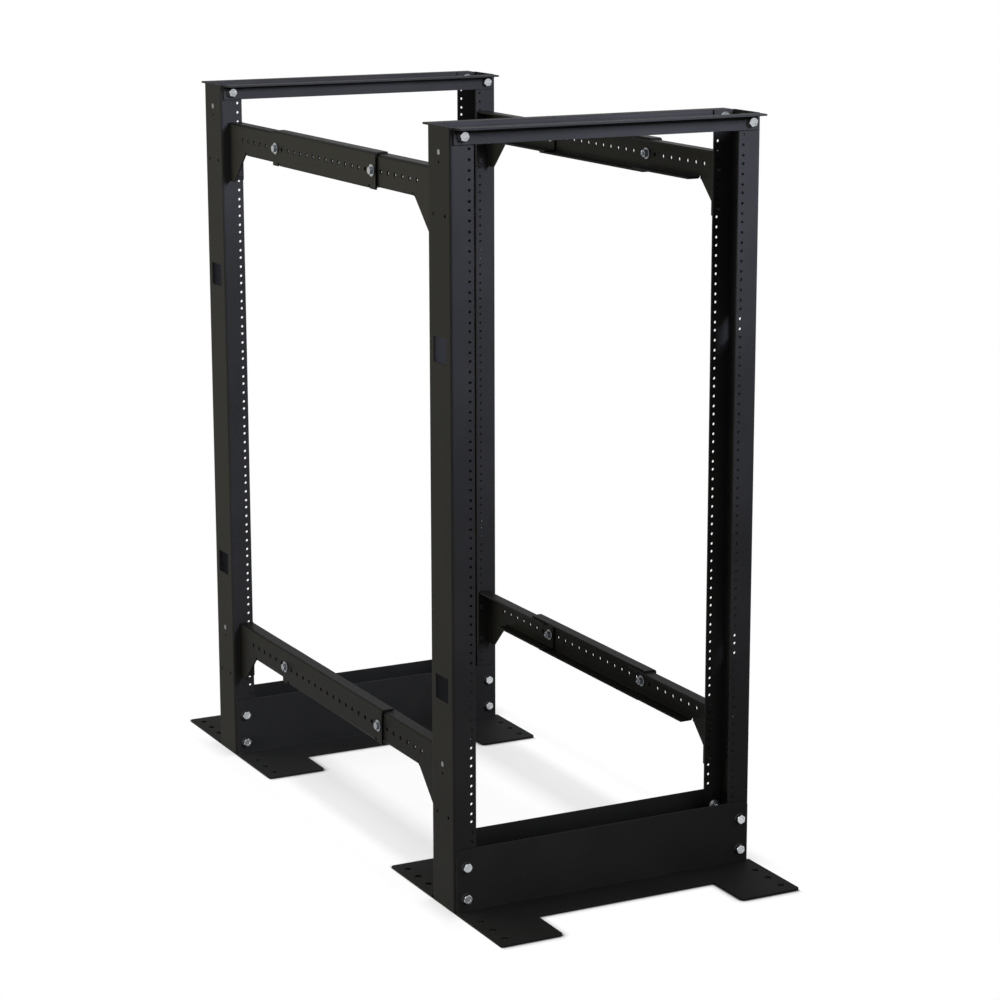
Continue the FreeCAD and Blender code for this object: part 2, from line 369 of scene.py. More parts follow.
def folded_sheet(name, outline, holes, creases, fold):
    """Folded sheet with rounded edges, from its flat blank.

    fold gives the place, both directions along the sheet and the outward one at a blank's
    point and depth.
    """
    outline, pairs = split_at_creases(outline, creases)
    loops = [outline] + holes
    slope = 1 - math.sqrt(0.5)
    profile = [(EDGE, 0.0, 0.0), (EDGE * slope, EDGE * slope, 0.5), (0.0, EDGE, 1.0),
               (0.0, SHEET - EDGE, 1.0), (EDGE * slope, SHEET - EDGE * slope, 1.5), (EDGE, SHEET, 2.0)]
    verts, normals, faces = [], [], []
    rows = []
    face_points = []
    for loop in loops:
        first = len(verts)
        count = len(loop)
        for inset, depth, lean in profile:
            for place, out in loop:
                u, v = place - out * inset
                position, along_u, along_v, away = fold(u, v, depth)
                edge_way = along_u * out.x + along_v * out.y
                angle = lean * math.pi / 2
                verts.append(position)
                normals.append(away * math.cos(angle) + edge_way * math.sin(angle))
        rows.append((first, count))
        face_points += [place - out * EDGE for place, out in loop]
        for r in range(len(profile) - 1):
            for k in range(count):
                a = first + r * count + k
                b = first + r * count + (k + 1) % count
                faces.append((a, b, b + count, a + count))
    edges, offset = [], 0
    for first, count in rows:
        edges += [(offset + k, offset + (k + 1) % count) for k in range(count)]
        offset += count
    index = {(round(p.x, 4), round(p.y, 4)): i for i, p in enumerate(face_points)}
    outs = {(round(p.x, 4), round(p.y, 4)): p - out * EDGE for p, out in outline}
    for p, q in pairs:
        ends = [outs[(round(c.x, 4), round(c.y, 4))] for c in (p, q)]
        edges.append(tuple(index[(round(c.x, 4), round(c.y, 4))] for c in ends))
    flat, _, triangles, origins, _, _ = geometry.delaunay_2d_cdt(face_points, edges, [], 0, 1e-5)
    assert len(flat) == len(face_points), name
    centres = np.array([sum((flat[i] for i in t), Vector((0, 0))) / 3 for t in triangles])
    inset_loops = [[(place - out * EDGE, out) for place, out in loop] for loop in loops]
    kept = inside(centres, inset_loops)
    outer_of, inner_of = {}, {}
    offset = 0
    for first, count in rows:
        for k in range(count):
            outer_of[offset + k] = first + k
            inner_of[offset + k] = first + (len(profile) - 1) * count + k
        offset += count
    for triangle, keep in zip(triangles, kept):
        if keep:
            ids = [origins[i][0] for i in triangle]
            faces.append(tuple(outer_of[i] for i in ids))
            faces.append(tuple(inner_of[i] for i in reversed(ids)))
    return finished_mesh(name, verts, faces, normals)


def finished_mesh(name, verts, faces, normals=None):
    """Object in metres from vertices in millimetres, with its faces turned outwards."""
    mesh = bpy.data.meshes.new(name)
    mesh.from_pydata([Vector(p) * MM for p in verts], [], faces, shade_flat=False)
    work = bmesh.new()
    work.from_mesh(mesh)
    bmesh.ops.recalc_face_normals(work, faces=work.faces)
    work.to_mesh(mesh)
    work.free()
    if normals is not None:
        mesh.normals_split_custom_set_from_vertices([n.normalized() for n in normals])
    obj = bpy.data.objects.new(name, mesh)
    bpy.context.scene.collection.objects.link(obj)
    return obj


def bend_creases(section, axis, low, high):
    """Crease lines over each bend of a section, for blanks folded along that axis."""
    return [(axis, start + (end - start) * k / BEND_STEPS, low, high)
            for start, end in section.bends() for k in range(BEND_STEPS + 1)]


def in_plan(p, q, r):
    return Vector((p, q, r))


def in_elevation(p, q, r):
    return Vector((p, r, q))


def in_side_view(p, q, r):
    return Vector((r, p, q))


def straight_fold(section, place):
    """Fold for a blank whose bends all run straight along its second coordinate."""
    def fold(u, v, depth):
        point, heading, out = section.at(u)
        spot = point - out * depth
        return (place(spot.x, spot.y, v), place(heading.x, heading.y, 0),
                place(0, 0, 1), place(out.x, out.y, 0))
    return fold


def hole_height(unit, place):
    return FIRST_UNIT + (unit - 1) * UNIT + UNIT_HOLES[place]


def rail_centre(level):
    return hole_height(RAIL_UNITS[level], 1) + RAIL_RISE


def rail_screws(level):
    return hole_height(RAIL_UNITS[level] - 1, 0), hole_height(RAIL_UNITS[level], 1)


def make_upright(node):
    """C-shaped post with equipment holes in both flanges and cut-outs in its web."""
    low, high = corners_of(node)
    side = 1 if low.x > 0 else -1
    outer, edge = (high.x, low.x) if side > 0 else (low.x, high.x)
    section = Section([(edge, low.y), (outer, low.y), (outer, high.y), (edge, high.y)])
    top = high.z
    outline = rounded_loop([(0, 0, CORNER), (section.total, 0, CORNER),
                            (section.total, top, CORNER), (0, top, CORNER)])
    flange = abs(outer - edge)
    holes = []
    for place_u in (lambda x: section.u(0, abs(x - edge)), lambda x: section.u(2, abs(outer - x))):
        for unit in range(1, UNITS + 1):
            for place in range(3):
                holes.append(round_hole(place_u(side * HOLE_X), hole_height(unit, place), HOLE_R,
                                        SMALL_HOLE_SIDES))
        for height in BASE_BOLTS + (top - TOP_BOLT_DROP,):
            holes.append(round_hole(place_u(outer - side * flange / 2), height, BOLT_HOLE_R))
    middle = section.u(1, (high.y - low.y) / 2)
    for height in WINDOW_CENTRES:
        holes.append(window_hole(middle, height, *WINDOW))
    for height in ACCESSORY_HOLES:
        holes.append(round_hole(middle, height, ACCESSORY_R, LARGE_HOLE_SIDES))
        holes.append(round_hole(middle, height - PILOT_DROP, PILOT_R, SMALL_HOLE_SIDES))
    for height in PAIR_HOLES:
        for sign in (-1, 1):
            holes.append(round_hole(middle + sign * PAIR_SPACING / 2, height, PAIR_R, SMALL_HOLE_SIDES))
    return folded_sheet(node + "_detailed", outline, holes, bend_creases(section, 0, -1, top + 1),
                        straight_fold(section, in_plan))


def angle_section(node, outer_z, far_z):
    """Section of a top or base angle, from the leg's free edge to the tip of its shelf."""
    low, high = corners_of(node)
    out = 1 if "_back_" in node else -1
    face_y, tip_y = (low.y, high.y) if out > 0 else (high.y, low.y)
    return Section([(face_y, far_z), (face_y, outer_z), (tip_y, outer_z)])


def make_top_angle(node):
    """Angle across a frame's top."""
    low, high = corners_of(node)
    section = angle_section(node, high.z, low.z)
    outline = rounded_loop([(0, low.x, CORNER), (section.total, low.x, CORNER),
                            (section.total, high.x, CORNER), (0, high.x, CORNER)])
    holes = [round_hole(section.u(0, high.z - low.z - TOP_BOLT_DROP), side * BOLT_X, BOLT_HOLE_R)
             for side in (-1, 1)]
    creases = bend_creases(section, 0, low.x - 1, high.x + 1)
    return folded_sheet(node + "_detailed", outline, holes, creases, straight_fold(section, in_side_view))


def make_base_angle(node):
    """Angle across a frame's foot, its flat leg notched into two feet."""
    low, high = corners_of(node)
    section = angle_section(node, low.z, high.z)
    height = high.z - low.z
    tip = section.total
    notch_x = high.x - FOOT_WIDTH
    bridge = section.u(1, FOOT_BRIDGE)
    flat = section.bends()[0][1]
    leg_x = high.x - BASE_LEG_INSET
    outline = rounded_loop([(0, -leg_x, BASE_CORNER), (flat, -leg_x, CORNER), (flat, low.x, CORNER),
                            (tip, low.x, FOOT_CORNER), (tip, -notch_x, FOOT_CORNER),
                            (bridge, -notch_x, CORNER), (bridge, notch_x, CORNER),
                            (tip, notch_x, FOOT_CORNER), (tip, high.x, FOOT_CORNER),
                            (flat, high.x, CORNER), (flat, leg_x, CORNER), (0, leg_x, BASE_CORNER)])
    holes = []
    for side in (-1, 1):
        for bolt in BASE_BOLTS:
            holes.append(round_hole(section.u(0, height - bolt), side * BOLT_X, BOLT_HOLE_R))
        for k in range(FOOT_HOLES):
            holes.append(round_hole(tip - FOOT_HOLE_TIP - k * FOOT_HOLE_PITCH, side * BOLT_X, FOOT_HOLE_R,
                                    LARGE_HOLE_SIDES))
    creases = bend_creases(section, 0, low.x - 1, high.x + 1)
    return folded_sheet(node + "_detailed", outline, holes, creases, straight_fold(section, in_side_view))


def make_sleeve(node):
    """Outer channel of a rail, its lower flange cut back at both ends."""
    low, high = corners_of(node)
    side = 1 if low.x > 0 else -1
    outer, edge = (high.x, low.x) if side > 0 else (low.x, high.x)
    section = Section([(edge, low.z), (outer, low.z), (outer, high.z), (edge, high.z)])
    web_low = section.u(1, 0)
    slot = section.u(1, SLOT_DEPTH)
    y0, y1 = low.y, high.y
    outline = rounded_loop([
        (0, y0 + CUT_BACK, CORNER), (0, y1 - CUT_BACK, CORNER),
        (slot, y1 - CUT_BACK, CORNER), (slot, y1 - CUT_BACK + SLOT_WIDTH, CORNER),
        (web_low, y1 - CUT_BACK + SLOT_WIDTH, CORNER), (web_low, y1, CORNER),
        (section.total, y1, CORNER), (section.total, y0, CORNER),
        (web_low, y0, CORNER), (web_low, y0 + CUT_BACK - SLOT_WIDTH, CORNER),
        (slot, y0 + CUT_BACK - SLOT_WIDTH, CORNER), (slot, y0 + CUT_BACK, CORNER)])
    middle_u = section.u(1, (high.z - low.z) / 2)
    count = round((y1 - y0) / PITCH)
    holes = [round_hole(middle_u, y0 + PITCH / 2 + k * PITCH, RAIL_HOLE_R) for k in range(count)]
    bend_end = section.bends()[0][1]
    creases = [(axis, u, y0 + CUT_BACK - 1, y1 - CUT_BACK + 1) if u <= bend_end + HAIR
               else (axis, u, start, end)
               for axis, u, start, end in bend_creases(section, 0, y0 - 1, y1 + 1)]
    fold_along = straight_fold(section, in_elevation)

    def fold(u, v, depth):
        past_slots = v < y0 + CUT_BACK - SLOT_WIDTH / 2 or v > y1 - CUT_BACK + SLOT_WIDTH / 2
        if u < bend_end and past_slots:
            position, along_u, along_v, away = fold_along(bend_end + HAIR, v, depth)
            return position + along_u * (u - bend_end), along_u, along_v, away
        return fold_along(u, v, depth)
    return folded_sheet(node + "_detailed", outline, holes, creases, fold)


def make_arm(node):
    """Rail arm with its flanges, gusset and the tab that is folded against the post."""
    low, high = corners_of(node)
    side = 1 if low.x > 0 else -1
    out = 1 if "_front_" in node else -1
    outer, tab_x = (high.x, low.x) if side > 0 else (low.x, high.x)
    edge = outer - side * ARM_DEPTH
    z1 = high.z
    z0 = z1 - ARM_HEIGHT
    seat, end = (low.y, high.y) if out > 0 else (high.y, low.y)
    section = Section([(edge, z0), (outer, z0), (outer, z1), (edge, z1)])
    tab = Section([(tab_x, seat), (outer, seat), (outer, end)])
    lower_bend, upper_bend = section.bends()
    tab_bend = tab.bends()[0]

    def at_z(z):
        return section.u(1, z - z0)

    def at_run(distance):
        return tab.u(1, distance)

    v_end = tab.total
    v_top = at_run(BEND + RELIEF)
    u_top_slot = at_z(z1 - BEND - RELIEF)
    u_slot = at_z(z0 + SLOT_DEPTH)
    v_flange = at_run(ARM_FLANGE_START)
    v_slot = v_flange - SLOT_WIDTH
    gusset_rise = z0 - low.z
    outline = rounded_loop([
        (at_z(low.z), 0, 2 * CORNER), (at_z(low.z), at_run(GUSSET_FOOT), GUSSET_CORNER),
        (at_z(z0), at_run(GUSSET_FOOT + gusset_rise), GUSSET_CORNER),
        (at_z(z0), v_slot, CORNER), (u_slot, v_slot, SLOT_CORNER),
        (u_slot, v_flange, SLOT_CORNER), (0, v_flange, CORNER), (0, v_end, CORNER),
        (section.total, v_end, CORNER), (section.total, v_top, CORNER),
        (u_top_slot, v_top, RELIEF_CORNER), (u_top_slot, at_run(BEND), RELIEF_CORNER),
        (at_z(z1), at_run(BEND), CORNER), (at_z(z1), 0, 2 * CORNER)])
    level = node.split("_")[0]
    holes = [round_hole(at_z(rail_centre(level)), at_run(FIRST_RAIL_HOLE + k * PITCH), RAIL_HOLE_R)
             for k in range(ARM_HOLES)]
    for height in rail_screws(level):
        holes.append(round_hole(at_z(height), HOLE_X - TAB_EDGE_X, TAB_HOLE_R))
    creases = []
    for axis, u, _, _ in bend_creases(section, 0, 0, 0):
        start = v_flange - 1 if u <= lower_bend[1] + HAIR else v_top - 0.3
        creases.append((axis, u, start, v_end + 1))
    for axis, v, _, _ in bend_creases(tab, 1, 0, 0):
        creases.append((axis, v, at_z(low.z) - 1, at_z(z1) + 1))

    def fold(u, v, depth):
        if v <= tab_bend[1]:
            point, heading, away = tab.at(v)
            spot = point - away * depth
            z = z0 + u - section.starts[1]
            return (Vector((spot.x, spot.y, z)), Vector((0, 0, 1)),
                    Vector((heading.x, heading.y, 0)), Vector((away.x, away.y, 0)))
        y = seat + out * (v - tab.starts[1])
        flat_low = u < lower_bend[1] and v < (v_slot + v_flange) / 2
        flat_high = u > upper_bend[0] and v < v_top - RELIEF / 2
        along_v = Vector((0, out, 0))
        if flat_low or flat_high:
            position = Vector((outer - side * depth, y, z0 + u - section.starts[1]))
            return position, Vector((0, 0, 1)), along_v, Vector((side, 0, 0))
        point, heading, away = section.at(u)
        spot = point - away * depth
        return (Vector((spot.x, y, spot.y)), Vector((heading.x, 0, heading.y)), along_v,
                Vector((away.x, 0, away.y)))
    return folded_sheet(node + "_detailed", outline, holes, creases, fold)


class Hardware:
    """Collects fasteners, each on an axis, into one mesh."""

    def __init__(self):
        self.verts = []
        self.faces = []
        self.dark = []

    def aim(self, origin, axis, spin=0.0):
        """Next shapes stand on origin and point along axis."""
        self.origin = Vector(origin)
        self.axis = Vector(axis).normalized()
        side = self.axis.orthogonal().normalized()
        side.rotate(Matrix.Rotation(spin, 3, self.axis))
        self.side = side
        self.other = self.axis.cross(side)

    def ring(self, radii, heights):
        """Ring of points round the axis. radii and heights are one number or one per point."""
        first = len(self.verts)
        for k in range(RING):
            angle = 2 * math.pi * k / RING
            radius = radii[k] if isinstance(radii, list) else radii
            height = heights[k] if isinstance(heights, list) else heights
            self.verts.append(self.origin + self.axis * height
                              + (self.side * math.cos(angle) + self.other * math.sin(angle)) * radius)
        return first

    def stack(self, rings, closed=False, painted_shade_bands=0):
        """Joins rings in order. A closed stack meets itself, an open one is capped at both ends."""
        firsts = [self.ring(*r) for r in rings]
        self.dark += range(len(self.faces), len(self.faces) + painted_shade_bands * RING)
        pairs = list(zip(firsts, firsts[1:])) + ([(firsts[-1], firsts[0])] if closed else [])
        for a, b in pairs:
            for k in range(RING):
                n = (k + 1) % RING
                self.faces.append((a + k, a + n, b + n, b + k))
        if not closed:
            self.faces.append(tuple(firsts[0] + k for k in reversed(range(RING))))
            self.faces.append(tuple(firsts[-1] + k for k in range(RING)))

    def hexagon(self, flats):
        """Distances from the axis to a hexagon's sides, one per ring point."""
        sixth = math.pi / 3
        return [flats / 2 / math.cos((2 * math.pi * k / RING + sixth / 2) % sixth - sixth / 2)
                for k in range(RING)]

    def washer(self, base, outer, inner, thickness):
        """Flat washer with softened rims."""
        soft = thickness * WASHER_SOFTNESS
        self.stack([(inner, base), (outer - soft, base), (outer, base + soft),
                    (outer, base + thickness - soft), (outer - soft, base + thickness),
                    (inner + soft, base + thickness), (inner, base + thickness - soft)], closed=True)

    def head(self, base, flats, height):
        """Hex bolt head with a chamfered top and a washer face below."""
        sides = self.hexagon(flats)
        top = flats / 2 * CROWN
        rim = [base + height - (r - top) * CHAMFER for r in sides]
        below = flats / 2 * WASHER_FACE
        start = base + WASHER_FACE_HEIGHT
        self.stack([(below, base), (below, start), (sides, start), (sides, rim), (top, base + height),
                    (top * FACE_SHARE, base + height)])

    def flange_head(self, flats, height, flange):
        """Hex head with a recessed face that widens into a sloping flange, its flange and hex sides in a
        second, darker zinc that paints shade on them.
        """
        sides = self.hexagon(flats)
        top = flats / 2 * CROWN
        rim = [height - (r - top) * CHAMFER for r in sides]
        shoulder = [height * SHOULDER - (r - flats / 2) * FLANGE_SLOPE for r in sides]
        soft, edge_end, slope_start = FLANGE_RIM
        rim_share, floor_share = RECESS_SHARES
        # The first five bands, the flange and the hex sides, take the painted shade.
        self.stack([(flange - soft, 0.0), (flange, soft), (flange, edge_end), (flange - soft, slope_start),
                    (sides, shoulder), (sides, rim), (top, height), (top * rim_share, height),
                    (top * floor_share, height - FACE_RECESS)], painted_shade_bands=5)

    def nut(self, base, flats, height, bore):
        """Hex nut chamfered on both faces."""
        sides = self.hexagon(flats)
        top = flats / 2 * CROWN
        low = [base + (r - top) * CHAMFER for r in sides]
        high = [base + height - (r - top) * CHAMFER for r in sides]
        self.stack([(bore, base), (top, base), (sides, low), (sides, high), (top, base + height),
                    (bore + BORE_CHAMFER, base + height), (bore, base + height - BORE_CHAMFER)], closed=True)

    def thread(self, start, end, radius, pitch):
        """Threaded rod end, its ridges as rings."""
        depth = pitch * THREAD_DEPTH
        rings = [(radius - depth, start)]
        at = start
        while at + pitch < end - pitch / 2:
            rings += [(radius - depth, at), (radius, at + pitch / 2)]
            at += pitch
        rings += [(radius - depth, at), (radius - 2 * depth, end)]
        self.stack(rings)

    def bolt(self, surface, axis, spec, grip, spin):
        """Bolt with its head on surface, and washer, nut and thread end on the grip's far side."""
        flats, head, washer_r, washer_t, radius, nut, tail, pitch = spec
        self.aim(surface, axis, spin)
        if spec is FRAME_BOLT:
            self.flange_head(flats, head, washer_r)
        else:
            self.washer(0.0, washer_r, radius + 0.2, washer_t)
            self.head(washer_t, flats, head)
        self.aim(Vector(surface) - Vector(axis) * grip, -Vector(axis), spin * NUT_SPIN)
        self.washer(0.0, washer_r, radius + 0.2, washer_t)
        self.nut(washer_t, flats, nut, radius - 0.1)
        self.thread(-grip, washer_t + nut + tail, radius, pitch)

    def screw(self, surface, axis, spec, length):
        """Low round-headed screw with its threaded end past the sheets."""
        head_r, head_h, radius, pitch = spec
        self.aim(surface, axis)
        self.stack([(head_r * wide, head_h * high) for wide, high in SCREW_HEAD])
        self.aim(surface, -Vector(axis))
        self.thread(0.0, length, radius, pitch)

    def piece(self, name, body, materials, node_slot):
        """One object that rides on a body. A second material goes on the faces that get painted shade."""
        obj = finished_mesh(name, self.verts, self.faces)
        obj.data.set_sharp_from_angle(angle=SHARP)
        for material in materials:
            obj.data.materials.append(material)
        for face in self.dark:
            obj.data.polygons[face].material_index = 1
        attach(obj, body)
        return obj


def frame_bolts(frame_name, materials):
    """The twelve bolts that hold one frame's angles to its posts."""
    kit = Hardware()
    count = 0
    for place, out in (("front", -1), ("back", 1)):
        low, high = corners_of("%s_frame_%s_top_angle" % (frame_name, place))
        face_y = high.y if out < 0 else low.y
        for side in (-1, 1):
            for height in BASE_BOLTS + (high.z - TOP_BOLT_DROP,):
                count += 1
                kit.bolt((side * BOLT_X, face_y + out * SHEET, height), (0, out, 0), FRAME_BOLT,
                         2 * SHEET, FRAME_BOLT_SPIN[0] + FRAME_BOLT_SPIN[1] * count)
    return kit.piece(frame_name + "_frame_bolts", frame_name + "_frame", materials, "zinc_hardware")


def web_inserts(frame_name, material):
    """Inserts pressed into the accessory holes of one frame's posts."""
    kit = Hardware()
    for side_name, side in (("left", -1), ("right", 1)):
        low, high = corners_of("%s_%s_upright" % (frame_name, side_name))
        outer = low.x if side < 0 else high.x
        for height in ACCESSORY_HOLES:
            kit.aim((outer, (low.y + high.y) / 2, height), (side, 0, 0))
            radius = ACCESSORY_R - INSERT_PLAY
            kit.stack([(INSERT_BARREL, -INSERT_LENGTH), (INSERT_BARREL, -SHEET), (radius, -SHEET),
                       (radius, 0.1), (ACCESSORY_R - INSERT_RIM, INSERT_RIM), (INSERT_BARREL, 0.5)])
    return kit.piece(frame_name + "_web_inserts", frame_name + "_frame", [material], "zinc_hardware")


def rail_bolts(name, spots, body, material):
    """Bolts through a sleeve and an arm, at hole steps counted from the front arm's first hole."""
    kit = Hardware()
    for level, side, step in spots:
        low, high = corners_of("%s_%s_sleeve" % (level, "left" if side < 0 else "right"))
        outer = low.x if side < 0 else high.x
        y = low.y + (step - SLEEVE_START) * PITCH
        kit.bolt((outer, y, rail_centre(level)), (side, 0, 0), RAIL_BOLT, 2 * SHEET + SLEEVE_CLEARANCE,
                 RAIL_BOLT_SPIN[0] + RAIL_BOLT_SPIN[1] * step)
    return kit.piece(name, body, [material], "zinc_hardware")


def tab_screws(frame_name, material):
    """Screws through the rail tabs into the equipment holes."""
    kit = Hardware()
    out = 1 if frame_name == "front" else -1
    for level in RAIL_UNITS:
        for side_name, side in (("left", -1), ("right", 1)):
            low, high = corners_of("%s_%s_%s_arm" % (level, side_name, frame_name))
            seat = low.y if out > 0 else high.y
            for height in rail_screws(level):
                kit.screw((side * HOLE_X, seat + out * SHEET, height), (0, out, 0), TAB_SCREW,
                          TAB_SCREW_LENGTH)
    return kit.piece(frame_name + "_tab_screws", frame_name + "_frame", [material], "frame_steel")


def powder_coat(name, color, roughness, specular):
    """Black powder coat with a fine grain."""
    material = bpy.data.materials.new(name)
    material.use_nodes = True
    nodes, links = material.node_tree.nodes, material.node_tree.links
    shader = nodes["Principled BSDF"]
    shader.inputs["Specular IOR Level"].default_value = specular
    coords = nodes.new("ShaderNodeTexCoord")
    cloud = nodes.new("ShaderNodeTexNoise")
    cloud.inputs["Scale"].default_value = CLOUD_SCALE
    cloud.inputs["Detail"].default_value = 3.0
    ramp = nodes.new("ShaderNodeValToRGB")
    ramp.color_ramp.elements[0].position = 0.35
    ramp.color_ramp.elements[1].position = 0.65
    ramp.color_ramp.elements[0].color = (color[0] * 0.9, color[1] * 0.9, color[2] * 0.9, 1)
    ramp.color_ramp.elements[1].color = (color[0] * 1.1, color[1] * 1.1, color[2] * 1.1, 1)
    grain = nodes.new("ShaderNodeTexNoise")
    grain.inputs["Scale"].default_value = GRAIN_SCALE
    grain.inputs["Detail"].default_value = 2.0
    orange_peel = nodes.new("ShaderNodeTexNoise")
    orange_peel.inputs["Scale"].default_value = PEEL_SCALE
    orange_peel.inputs["Detail"].default_value = 1.0
    add = nodes.new("ShaderNodeMath")
    add.operation = "ADD"
    bump = nodes.new("ShaderNodeBump")
    bump.inputs["Strength"].default_value = 0.35
    bump.inputs["Distance"].default_value = 0.0002
    rough = nodes.new("ShaderNodeMapRange")
    rough.inputs["To Min"].default_value = roughness - 0.05
    rough.inputs["To Max"].default_value = roughness + 0.05
    for texture in (cloud, grain, orange_peel):
        links.new(coords.outputs["Object"], texture.inputs["Vector"])
    links.new(cloud.outputs["Fac"], ramp.inputs["Fac"])
    links.new(ramp.outputs["Color"], shader.inputs["Base Color"])
    links.new(cloud.outputs["Fac"], rough.inputs["Value"])
    links.new(rough.outputs["Result"], shader.inputs["Roughness"])
    links.new(grain.outputs["Fac"], add.inputs[0])
    links.new(orange_peel.outputs["Fac"], add.inputs[1])
    links.new(add.outputs["Value"], bump.inputs["Height"])
    links.new(bump.outputs["Normal"], shader.inputs["Normal"])
    return material


def zinc(name, color, roughness):
    """Zinc plate, bright or darkened. The darkest one paints shade on the frame bolt heads."""
    material = bpy.data.materials.new(name)
    material.use_nodes = True
    nodes, links = material.node_tree.nodes, material.node_tree.links
    shader = nodes["Principled BSDF"]
    shader.inputs["Metallic"].default_value = 1.0
    coords = nodes.new("ShaderNodeTexCoord")
    cloud = nodes.new("ShaderNodeTexNoise")
    cloud.inputs["Scale"].default_value = PLATE_SCALE
    cloud.inputs["Detail"].default_value = 3.0
    ramp = nodes.new("ShaderNodeValToRGB")
    ramp.color_ramp.elements[0].color = (color[0] * 0.85, color[1] * 0.85, color[2] * 0.85, 1)
    ramp.color_ramp.elements[1].color = (color[0] * 1.15, color[1] * 1.15, color[2] * 1.15, 1)
    rough = nodes.new("ShaderNodeMapRange")
    rough.inputs["To Min"].default_value = roughness
    rough.inputs["To Max"].default_value = roughness + 0.1
    bump = nodes.new("ShaderNodeBump")
    bump.inputs["Strength"].default_value = 0.2
    bump.inputs["Distance"].default_value = 0.0001
    links.new(coords.outputs["Object"], cloud.inputs["Vector"])
    links.new(cloud.outputs["Fac"], ramp.inputs["Fac"])
    links.new(ramp.outputs["Color"], shader.inputs["Base Color"])
    links.new(cloud.outputs["Fac"], rough.inputs["Value"])
    links.new(rough.outputs["Result"], shader.inputs["Roughness"])
    links.new(cloud.outputs["Fac"], bump.inputs["Height"])
    links.new(bump.outputs["Normal"], shader.inputs["Normal"])
    return material


def make_camera():
    """Camera at the photograph's place."""
    azimuth = math.radians(CAMERA_AZIMUTH)
    elevation = math.radians(CAMERA_ELEVATION)
    roll = math.radians(CAMERA_ROLL)
    ahead = Vector((math.sin(azimuth) * math.cos(elevation), math.cos(azimuth) * math.cos(elevation),
                    -math.sin(elevation)))
    right = Vector((math.cos(azimuth), -math.sin(azimuth), 0))
    up = right.cross(ahead)
    right, up = (right * math.cos(roll) + up * math.sin(roll), up * math.cos(roll) - right * math.sin(roll))
    data = bpy.data.cameras.new("camera")
    data.lens = CAMERA_LENS
    data.sensor_width = CAMERA_FILM
    data.clip_end = CAMERA_REACH
    camera = bpy.data.objects.new("camera", data)
    camera.matrix_world = Matrix.LocRotScale(
        Vector(CAMERA_PLACE) * MM, Matrix((right, up, -ahead)).transposed(), Vector((1, 1, 1)))
    bpy.context.scene.collection.objects.link(camera)
    bpy.context.scene.camera = camera


def floor_material():
    """White floor that takes a faint shadow between the frames and is plain white further out. Near the
    middle, ambient occlusion paints black contact shade on it at the feet and inside the foot holes.
    """
    material = bpy.data.materials.new("floor_white")
    material.use_nodes = True
    nodes, links = material.node_tree.nodes, material.node_tree.links
    diffuse = nodes["Principled BSDF"]
    diffuse.inputs["Base Color"].default_value = (FLOOR_ALBEDO, FLOOR_ALBEDO, FLOOR_ALBEDO, 1)
    diffuse.inputs["Roughness"].default_value = 1.0
    diffuse.inputs["Specular IOR Level"].default_value = 0.0
    bounce = nodes.new("ShaderNodeBsdfDiffuse")
    bounce.inputs["Color"].default_value = (FLOOR_BOUNCE, FLOOR_BOUNCE, FLOOR_BOUNCE, 1)
    lift = nodes.new("ShaderNodeEmission")
    lift.inputs["Strength"].default_value = FLOOR_LIFT
    white = nodes.new("ShaderNodeEmission")
    # Black emission for the painted contact shade.
    black = nodes.new("ShaderNodeEmission")
    black.inputs["Strength"].default_value = 0.0
    contact = nodes.new("ShaderNodeAmbientOcclusion")
    contact.samples = CONTACT_SAMPLES
    contact.inputs["Distance"].default_value = CONTACT_REACH
    coords = nodes.new("ShaderNodeTexCoord")
    place = nodes.new("ShaderNodeSeparateXYZ")
    path = nodes.new("ShaderNodeLightPath")
    both = nodes.new("ShaderNodeAddShader")
    faded, painted_contact_shade, seen = (nodes.new("ShaderNodeMixShader") for _ in range(3))

    def math_node(operation, first, second=None):
        node = nodes.new("ShaderNodeMath")
        node.operation = operation
        for socket, value in zip(node.inputs, (first, second)):
            if isinstance(value, float):
                socket.default_value = value
            elif value is not None:
                links.new(value, socket)
        return node.outputs["Value"]

    def ramp(value, low, high):
        node = nodes.new("ShaderNodeMapRange")
        node.inputs["From Min"].default_value = low
        node.inputs["From Max"].default_value = high
        links.new(value, node.inputs["Value"])
        return node.outputs["Result"]

    links.new(coords.outputs["Object"], place.inputs["Vector"])
    across = math_node("ABSOLUTE", place.outputs["X"])
    along = math_node("ABSOLUTE", place.outputs["Y"])
    links.new(diffuse.outputs["BSDF"], both.inputs[0])
    links.new(lift.outputs["Emission"], both.inputs[1])
    links.new(math_node("MAXIMUM", ramp(across, *SHADOW_X), ramp(along, *SHADOW_Y)), faded.inputs["Fac"])
    links.new(both.outputs["Shader"], faded.inputs[1])
    links.new(white.outputs["Emission"], faded.inputs[2])
    # Within CONTACT_X of the middle, ambient occlusion blends the floor towards black: painted contact shade
    # at the feet and in the foot holes.
    open_to_light = math_node("POWER", contact.outputs["AO"], CONTACT_POWER)
    links.new(math_node("MAXIMUM", open_to_light, math_node("GREATER_THAN", across, CONTACT_X)),
              painted_contact_shade.inputs["Fac"])
    links.new(black.outputs["Emission"], painted_contact_shade.inputs[1])
    links.new(faded.outputs["Shader"], painted_contact_shade.inputs[2])
    links.new(math_node("MAXIMUM", path.outputs["Is Camera Ray"], path.outputs["Is Glossy Ray"]),
              seen.inputs["Fac"])
    links.new(bounce.outputs["BSDF"], seen.inputs[1])
    links.new(painted_contact_shade.outputs["Shader"], seen.inputs[2])
    links.new(seen.outputs["Shader"], nodes["Material Output"].inputs["Surface"])
    return material


